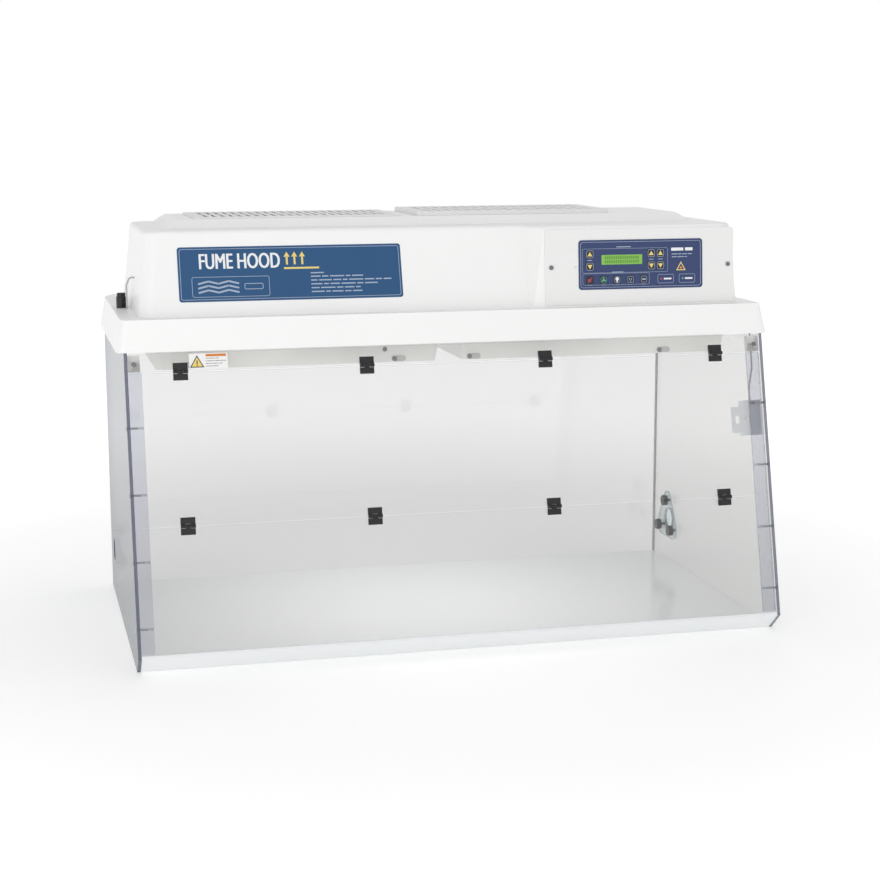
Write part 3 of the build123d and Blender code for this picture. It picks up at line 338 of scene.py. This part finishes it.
# ================================================================ hinges
# Black moulded nylon butt hinges: two thin leaves, and three knuckles on a pin.  The grain of the
# nylon breaks up their highlights, so they read as soft black.
FINISH_TONE = 0.86  # light of the darker tone
FINISH_SHEEN = (0.8, 1.2)  # spread of roughness, as shares of its mean
FINISH_RELIEF = 0.1 * MM


def plain_finish(name, hex_colour, roughness, grain_mm=1.0, depth=0.15, metallic=0.0):
    """A solid finish with fine grain, uneven sheen and slight change of tone."""
    material, tree, shader = new_material(name, Metallic=metallic)
    place = add_node(tree, "TexCoord").outputs["Object"]
    grain = add_node(tree, "TexNoise", {"Vector": place}, Scale=1 / (grain_mm * MM), Detail=3.0)
    tone = add_node(tree, "Mix", {"Factor": grain.outputs["Fac"]}, data_type="RGBA")
    tone.inputs["A"].default_value = linear(hex_colour)
    tone.inputs["B"].default_value = [c * FINISH_TONE for c in linear(hex_colour)[:3]] + [1]
    tree.links.new(tone.outputs["Result"], shader.inputs["Base Color"])
    spread = add_node(tree, "MapRange", {"Value": grain.outputs["Fac"]},
                      To_Min=roughness * FINISH_SHEEN[0], To_Max=roughness * FINISH_SHEEN[1])
    tree.links.new(spread.outputs[0], shader.inputs["Roughness"])
    bump = add_node(tree, "Bump", {"Height": grain.outputs["Fac"]}, Strength=depth, Distance=FINISH_RELIEF)
    tree.links.new(bump.outputs["Normal"], shader.inputs["Normal"])
    return material


black_nylon = plain_finish("moulded nylon, black", "16171A", 0.34, 0.8)
for node, body in (
    ("upper_hinge_fixed_leaves", "cabinet"),
    ("upper_hinge_door_leaves", "upper_door"),
    ("mid_hinge_top_leaves", "upper_door"),
    ("mid_hinge_bottom_leaves", "lower_door"),
):
    finish(eased(node, node + "_eased", 0.45 * MM), black_nylon, body, node, slot="black_nylon")

# ================================================================ front label
# Polyester film, screen-printed and glued to the front of the top.  Each ink is a thin layer of
# its own, in plain shapes: rules, bars, arrows and waves.  The film has a weak, even gloss.
# Sizes are in millimetres, from the label's lower left corner.


def face_place(node, lean, thickness):
    """Place on a leaning flat part: X across, Y up, Z outwards, from the lower left of its outer face."""
    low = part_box(node)[0]
    up = Vector((0, sin(lean), cos(lean)))
    out = Vector((0, -cos(lean), sin(lean)))
    corner = Vector((low.x, low.y + thickness * cos(lean), low.z)) + out * thickness
    return Matrix.Translation(corner) @ Matrix(((1, 0, 0), up, out)).transposed().to_4x4()


def patch(width, height, x, y, corner=0.0, line=0.0, turn=0.0):
    """A flat printed bar, in millimetres; with a line width it is only an outline."""
    bpy.ops.object.select_all(action="DESELECT")
    bpy.ops.mesh.primitive_plane_add(size=MM, location=(x * MM, y * MM, 0), rotation=(0, 0, radians(turn)))
    shape = bpy.context.object
    shape.scale = (width, height, 1)
    bpy.ops.object.transform_apply(location=False, rotation=False, scale=True)
    bpy.ops.object.mode_set(mode="EDIT")
    bpy.ops.mesh.select_all(action="SELECT")
    if corner:
        bpy.ops.mesh.bevel(offset=corner * MM, segments=5, affect="VERTICES")
    if line:
        bpy.ops.mesh.inset(thickness=line * MM)
        bpy.ops.mesh.delete(type="FACE")
    bpy.ops.object.mode_set(mode="OBJECT")
    return shape


def disc(radius, x, y, sides=24, turn=0.0, line=0.0):
    """A flat printed disc, triangle or ring, in millimetres."""
    bpy.ops.object.select_all(action="DESELECT")
    bpy.ops.mesh.primitive_circle_add(vertices=sides, radius=radius * MM, fill_type="NGON",
                                      location=(x * MM, y * MM, 0), rotation=(0, 0, radians(turn)))
    shape = bpy.context.object
    bpy.ops.object.mode_set(mode="EDIT")
    bpy.ops.mesh.select_all(action="SELECT")
    if line:
        bpy.ops.mesh.inset(thickness=line * MM)
        bpy.ops.mesh.delete(type="FACE")
    bpy.ops.object.mode_set(mode="OBJECT")
    return shape


def lettering(words, x, y, width, height, lift):
    """Plain capitals, stretched to a width and height in millimetres, from their lower left."""
    bpy.ops.object.select_all(action="DESELECT")
    bpy.ops.object.text_add()
    shape = bpy.context.object
    shape.data.body = words
    shape.data.resolution_u = 3
    bpy.ops.object.convert(target="MESH")
    shape = bpy.context.object
    xs = [v.co.x for v in shape.data.vertices]
    ys = [v.co.y for v in shape.data.vertices]
    fit = Matrix.Diagonal((width * MM / (max(xs) - min(xs)), height * MM / (max(ys) - min(ys)), 1, 1))
    to_corner = Matrix.Translation((-min(xs), -min(ys), 0))
    shape.data.transform(Matrix.Translation((x * MM, y * MM, lift * MM)) @ fit @ to_corner)
    return shape


INK = 0.06 * MM
PRINT_DOT = 1.11 * MM  # real dots are finer, and would not show
PRINT_TONE = 0.85  # light of the darker tone


def printed(name, shapes, place, ink, body="cabinet", lift=0.0, slot=None):
    """Join flat shapes into one layer of ink, give it thickness and put it in place."""
    only(*shapes)
    if len(shapes) > 1:
        bpy.ops.object.join()
    layer = bpy.context.object
    layer.name = name
    bpy.ops.object.transform_apply(location=True, rotation=True, scale=True)
    thick = layer.modifiers.new("ink", "SOLIDIFY")
    thick.thickness = INK
    thick.offset = 1.0
    bpy.ops.object.modifier_apply(modifier=thick.name)
    layer.data.transform(place @ Matrix.Translation((0, 0, lift)))
    return finish(layer, ink, body, slot=slot)


def printed_film(name, hex_colour):
    """Film over a solid print: a faint texture of fine dots under a thin clear coat."""
    material, tree, shader = new_material(name, Roughness=0.36, Coat_Weight=0.15, Coat_Roughness=0.12)
    place = add_node(tree, "TexCoord").outputs["Object"]
    mottle = add_node(tree, "TexNoise", {"Vector": place}, Scale=1 / PRINT_DOT, Detail=2.0)
    tone = add_node(tree, "Mix", {"Factor": mottle.outputs["Fac"]}, data_type="RGBA")
    tone.inputs["A"].default_value = linear(hex_colour)
    tone.inputs["B"].default_value = [c * PRINT_TONE for c in linear(hex_colour)[:3]] + [1]
    tree.links.new(tone.outputs["Result"], shader.inputs["Base Color"])
    bump = add_node(tree, "Bump", {"Height": mottle.outputs["Fac"]}, Strength=0.08, Distance=0.05 * MM)
    tree.links.new(bump.outputs["Normal"], shader.inputs["Normal"])
    return material


white_ink = printed_film("screen ink, white", "F2F4F5")
pale_ink = printed_film("screen ink, pale blue-grey", "A9B8CC")
yellow_ink = printed_film("screen ink, yellow", "F0D878")
amber_ink = printed_film("screen ink, amber", "D9843B")
grey_ink = printed_film("screen ink, grey", "8D9096")
dark_ink = printed_film("screen ink, near black", "1C2130")
red_ink = printed_film("screen ink, red", "C44A55")
green_ink = printed_film("screen ink, green", "63B89A")

HOUSING_RISE, HOUSING_DRAFT = 0.150, 0.046
LABEL_LEAN = atan2(HOUSING_DRAFT, HOUSING_RISE)
LABEL_THICK = 0.6 * MM
blue_film = printed_film("polyester film, blue print", "195080")
label = face_place("front_label", LABEL_LEAN, LABEL_THICK)
label_film = eased("front_label", "label_film", 0.12 * MM)
finish(label_film, blue_film, "cabinet", "front_label", slot="blue_label")


def word_rows(x, y, lengths, pitch, height, unit):
    """Ragged rows of short bars that stand in for small print; a unit is one letter's width."""
    made = []
    for row, words in enumerate(lengths):
        left = x
        for word in words:
            size = word * unit
            made.append(patch(size, height, left + size / 2, y - row * pitch))
            left += size + unit
    return made


SMALL_PRINT = (  # lengths of the words in each row, in letters
    (6, 4, 9, 3, 7),
    (4, 8, 5, 3, 9, 6, 4, 5),
    (7, 3, 6, 9, 4, 8),
    (5, 9, 4, 6, 3),
    (8, 3, 7, 4, 6),
)
BOLD_STEPS = ((0, 0), (0.8, 0.04), (1.6, 0.08))  # shift and lift of each strike of the title
title = [lettering("FUME HOOD", 38 + shift, 59, 144, 28, lift) for shift, lift in BOLD_STEPS]
printed("label_white_print", title, label, white_ink, slot="blue_label")
WAVE_ROWS = (18.5, 26.5, 34.5)
WAVE_PIECES = ((44, 14), (62, -14), (80, 14), (98, -14))  # place and tilt in degrees
printed("label_pale_print", [
    patch(399, 92.5, 203, 49.75, corner=4, line=0.9),
    patch(139, 37, 93, 26.5, corner=4, line=0.9),
    patch(24, 2.2, 250, 48.5),
    *word_rows(238, 42, SMALL_PRINT, 7.0, 2.2, 2.9),
    *[patch(20, 3.2, x, y, corner=1.5, turn=tilt) for y in WAVE_ROWS for x, tilt in WAVE_PIECES],
    patch(34, 11, 134, 26.5, corner=3, line=1.2),
], label, pale_ink, slot="blue_label")
airflow = []
for x in (196, 210, 224):
    airflow.append(patch(3.6, 15, x, 72))
    airflow.append(disc(6.2, x, 82, sides=3))
printed("label_yellow_print", [*airflow, patch(64, 3.4, 222, 58)], label, yellow_ink, slot="blue_label")

# ================================================================ keypad overlay
# The same film, in navy, glued over the control plate round the keys and the display.  It shows
# group rules, a bar under each key, two boxed pilot lamps and a caution triangle.  Sizes are in
# millimetres, from its lower left corner.
POD_DRAFT = 0.011
KEYPAD_LEAN = atan2(POD_DRAFT, HOUSING_RISE)
KEYPAD_THICK = 0.8 * MM
KEY_COLUMNS = [21.8 + 26.4 * step for step in range(5)]
navy_film = printed_film("polyester film, navy print", "24386A")
keypad = face_place("keypad_overlay", KEYPAD_LEAN, KEYPAD_THICK)
keypad_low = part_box("keypad_overlay")[0]
keypad_film = eased("keypad_overlay", "keypad_film", 0.15 * MM)
finish(keypad_film, navy_film, "cabinet", "keypad_overlay", slot="blue_keypad")
printed("keypad_pale_print", [
    patch(237, 84.5, 122, 45.75, corner=5, line=0.7),
    patch(168, 45, 91, 53, corner=3, line=0.5),
    patch(131, 21.5, 73, 19, corner=3, line=0.5),
    patch(32, 16.5, 170.7, 17.4, corner=3, line=0.6),
    patch(32, 16.5, 213.1, 17.4, corner=3, line=0.6),
    patch(28, 1.6, 88, 78.2),
    patch(22, 1.6, 76, 31.6),
    *[patch(9, 1.2, x, 54.2) for x in (21.8, 142.3, 160.3)],
    *[patch(8, 1.1, x, 8.3) for x in KEY_COLUMNS],
    *word_rows(183, 63, ((7, 4, 6, 5), (6, 8, 3)), 5.2, 1.5, 1.6),
], keypad, pale_ink, slot="blue_keypad")
printed("keypad_white_print", [
    patch(24, 5.6, 194, 72),
    patch(15, 5.6, 217, 72),
    patch(15, 3, 174.5, 17.4),
    patch(15, 3, 216.5, 17.4),
], keypad, white_ink, slot="blue_keypad")
for colour, ink, shape in (
    ("yellow", yellow_ink, disc(11, 201.1, 38, sides=3, line=1.6)),
    ("amber", amber_ink, disc(2.4, 201.1, 37.5, sides=12)),
    ("red", red_ink, patch(3, 3, 161.5, 17.4)),
    ("green", green_ink, patch(3, 3, 204.5, 17.4)),
):
    printed(f"keypad_{colour}_print", [shape], keypad, ink, slot="blue_keypad")

# ================================================================ header sticker
# Small white vinyl sticker on the clear header, with an amber bar, a caution triangle and rows of
# bars for small print.  Vinyl hides what is behind it, so it reads as a solid white patch.  Sizes
# are in millimetres, from the header's lower left corner.
HEADER_THICK = 6 * MM
header = face_place("front_header", SASH_LEAN, HEADER_THICK)
white_film = printed_film("vinyl film, white", "F6F6F4")
for name, shapes, ink, lift in (
    ("film", [patch(68, 28, 139.5, 16, corner=1)], white_film, 0),
    ("amber_print", [patch(36, 4.6, 153, 26.4)], amber_ink, INK),
    ("yellow_print", [disc(12.5, 119.5, 12.5, sides=3)], yellow_ink, INK),
    ("dark_print", [
        disc(14.5, 119.5, 12.5, sides=3, line=1.6),
        patch(1.8, 7, 119.5, 14.5),
        disc(1.1, 119.5, 8.6, sides=10),
    ], dark_ink, 2 * INK),
    ("grey_print", word_rows(135, 21, SMALL_PRINT[:4], 4.6, 1.3, 0.7), grey_ink, INK),
):
    printed("sticker_" + name, shapes, header, ink, lift=lift, slot="blue_label")

# ================================================================ keys
# Each key is an embossed cap of near-black polyester, with its own sign printed on it: arrows for
# the menus, and a muted horn, a fan, a lamp, a socket and a bar for the functions.  The fine
# texture of the film dulls it beside the inks.
key_face = plain_finish("embossed polyester, near black", "1B2238", 0.4, 0.6)
KEY_PROUD = 0.6 * MM
SIGN_DROP = 0.1 * MM
FAN_BLADES = [pi / 2 + 2 * pi / 3 * blade for blade in range(3)]
FAN_BLADE_OUT = 2.3


def arrow_sign(turn, shift):
    return [("sign", yellow_ink, lambda: [disc(5.4, 0, shift, sides=3, turn=turn)]),
            ("rim", pale_ink, lambda: [patch(13.6, 14.1, 0, 0, corner=3.2, line=0.7)])]


def round_rim():
    return patch(11.6, 12.6, 0, 0, corner=5, line=0.6)


def mute_sign():
    return [disc(4.2, -0.4, 0, sides=3, turn=90), patch(3, 4, -3, 0), patch(1.2, 13, 0, 0, turn=-40)]


def fan_sign():
    blades = []
    for angle in FAN_BLADES:
        x = FAN_BLADE_OUT * cos(angle)
        y = FAN_BLADE_OUT * sin(angle)
        blades.append(patch(2.4, 4.6, x, y, corner=1.1, turn=degrees(angle) - 60))
    return [*blades, round_rim()]


def light_sign():
    return [disc(3.3, 0, 1.4, sides=18), patch(2.6, 3.4, 0, -3.1, corner=0.5)]


def outlet_sign():
    slots = [patch(1.1, 4, x, 0.6) for x in (-1.8, 1.8)]
    return [patch(11.6, 12.0, 0, 0, corner=2, line=0.6), *slots, disc(0.9, 0, -3.2, sides=12)]


def aux_sign():
    return [patch(11.6, 12.0, 0, 0, corner=3, line=0.6), patch(7, 2.6, 0, 0)]


KEY_SIGNS = {
    "up": arrow_sign(0, -0.9),
    "down": arrow_sign(180, 0.9),
    "mute": [("sign", red_ink, mute_sign)],
    "fan": [("sign", green_ink, fan_sign)],
    "light": [("sign", white_ink, light_sign), ("rim", pale_ink, lambda: [round_rim()])],
    "outlet": [("sign", pale_ink, outlet_sign)],
    "aux": [("sign", pale_ink, aux_sign)],
}
for node in sorted(n for n in parts if n.startswith("key_")):
    body = node.replace("key_", "") + "_key"
    finish(eased(node, node + "_cap", 0.3 * MM), key_face, body, node, slot="key_caps")
    middle = (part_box(node)[0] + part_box(node)[1]) / 2 - keypad_low
    middle_place = keypad @ Matrix.Translation((middle.x, middle.z - SIGN_DROP, 0))
    for sign_part, ink, shapes in KEY_SIGNS[node.split("_")[-1]]:
        printed(f"{node}_{sign_part}", shapes(), middle_place, ink, body, KEY_PROUD, "key_caps")

# ================================================================ display
# Reflective liquid crystal module behind a window in the overlay: yellow-green, with two rows of
# sixteen character cells that show faintly when they are off.
lcd_green = printed_film("liquid crystal, yellow-green", "86C24E")
parts["lcd_module"].data.materials.clear()
parts["lcd_module"].data.materials.append(lcd_green)
cell_ink = printed_film("liquid crystal cell, dark green", "5F9A3A")
CELL_COLUMNS = [52.6 + 4.27 * column for column in range(16)]
CELL_ROWS = (51.15, 58.35)
WINDOW_DEPTH = 0.3 * MM
cells = [patch(3.0, 5.4, x, y) for x in CELL_COLUMNS for y in CELL_ROWS]
printed("display_cells", cells, keypad, cell_ink, lift=-WINDOW_DEPTH, slot="lcd")

# ================================================================ plate, grilles, blocks and switch
# The control plate, the grille, the louvred cover and the lamp reflector are powder-coated steel,
# and the powder's orange peel softens what they reflect.  The header's blocks are screwed-on nylon,
# duller and warmer, and the door switch is a smooth ABS box on a bracket.
coated = plain_finish("powder-coated steel, white", "F0F0EF", 0.42, 0.9, 0.35)
nylon = plain_finish("moulded nylon, natural white", "ECECEA", 0.45, 1.2)
abs_grey = plain_finish("moulded ABS, light grey", "E9ECF2", 0.4, 1.0)
for node, body, radius, paint, slot in (
    ("control_plate", "cabinet", 0.4, coated, "white_metal"),
    ("exhaust_grille", "cabinet", 0.5, coated, "white_metal"),
    ("exhaust_cover", "cabinet", 0.8, coated, "white_metal"),
    ("lamp_reflector", "cabinet", 0.3, coated, "white_metal"),
    ("corner_blocks", "cabinet", 0.8, nylon, "white_nylon"),
    ("interlock_switch", "cabinet", 0.7, abs_grey, "white_nylon"),
    ("interlock_plunger", "switch_plunger", 0.5, nylon, "white_nylon"),
):
    finish(eased(node, node + "_finished", radius * MM, segments=3), paint, body, node, slot=slot)

# ================================================================ port knobs and fittings
# Black phenolic knobs, moulded with finger grips, hold the port covers to the side panels; moulded
# phenolic takes a bright, hard gloss.  The sensor gland on the cap has the same finish.  The
# appliance inlet is a nylon insert, set in the rear of the top.
knob_black = plain_finish("moulded phenolic, black", "121315", 0.28, 0.7)
for side in ("left", "right"):
    for number in (1, 2, 3):
        node = f"port_knob_{side}_{number}"
        knob = eased(node, f"knob_{side}_{number}", 0.9 * MM, segments=3)
        finish(knob, knob_black, f"{side}_knob_{number}", node, slot="black_knob")
for node, name, radius, segments, paint in (
    ("sensor_fitting", "sensor_gland", 0.8, 3, knob_black),
    ("power_inlet", "appliance_inlet", 0.5, 2, black_nylon),
):
    finish(eased(node, name, radius * MM, segments), paint, "cabinet", node, slot="black_nylon")

# ================================================================ filter clips
# Moulded polycarbonate tabs, each turning on a screw to free the filters.  They are milky, so they
# show as pale grey against the white plenums.
clip_clear = plain_finish("moulded polycarbonate, milky", "C9CCCC", 0.25, 1.5)
for number in (1, 2, 3, 4):
    node = f"filter_clip_{number}"
    clip = eased(node, f"clear_clip_{number}", 0.4 * MM)
    finish(clip, clip_clear, f"clip_{number}", node, slot="clip_plastic")

# ================================================================ screws and leads
# Zinc-plated steel screws: those that hold the sealing strips are pale and bright, and those in the
# plate, the blocks and the plenums are a darker grey.  The door switch's lead and the sensor's
# tube are soft PVC, with little shine.
zinc = plain_finish("zinc-plated steel", "D2D4D8", 0.4, 0.5, metallic=0.3)
dark_zinc = plain_finish("zinc-plated steel, dulled", "7C7E84", 0.35, 0.5, metallic=0.8)
for node, plating in (("strip_screws", zinc), ("trim_screws", dark_zinc)):
    screws = eased(node, node + "_finished", 0.6 * MM, segments=3)
    finish(screws, plating, "cabinet", node, slot="steel_screws")
cable = plain_finish("soft PVC, grey", "B9BBBE", 0.5, 1.0)
finish(eased("leads", "leads_finished", 0.1 * MM, angle=60), cable, "cabinet", "leads", slot="lead_jacket")

# ================================================================ filters, blowers, lamp and board
# What the top hides: prefilters of rough white fleece under black carbon filters, two blowers of
# spangled galvanised steel with painted motors and nylon wheels, a lamp tube with a white phosphor
# coat inside its glass, and the controller's board under green solder mask.
fleece = plain_finish("pleated polyester fleece", "E6E6E2", 0.9, 2.2, 1.0)
carbon = plain_finish("carbon granule bed", "2B2C2E", 0.8, 3.0, 1.0)
galvanised = plain_finish("galvanised steel", "A9ADB0", 0.4, 14.0, 0.1, metallic=1.0)
motor = plain_finish("painted cast housing, black", "1E1F22", 0.5, 1.2, 0.3)
wheel = plain_finish("glass-filled nylon, black", "202124", 0.5, 1.0, 0.2)
board = plain_finish("solder mask, green", "1E5B34", 0.35, 0.8, 0.1)
tube = plain_finish("phosphor-coated glass", "F4F6F8", 0.15, 3.0, 0.02)
for node, body, radius, paint, slot in (
    ("prefilters", "cabinet", 1.0, fleece, "filter_fleece"),
    ("main_filters", "cabinet", 1.0, carbon, "filter_frame"),
    ("blower_housings", "cabinet", 0.6, galvanised, "galvanised"),
    ("blower_motors", "cabinet", 0.8, motor, "motor_metal"),
    ("impeller_left", "left_fan_wheel", 0.4, wheel, "wheel_plastic"),
    ("impeller_right", "right_fan_wheel", 0.4, wheel, "wheel_plastic"),
    ("controller_board", "cabinet", 0.3, board, "circuit_board"),
    ("lamp_tube", "cabinet", 1.0, tube, "lamp_glass"),
):
    finish(eased(node, node + "_finished", radius * MM), paint, body, node, slot=slot)
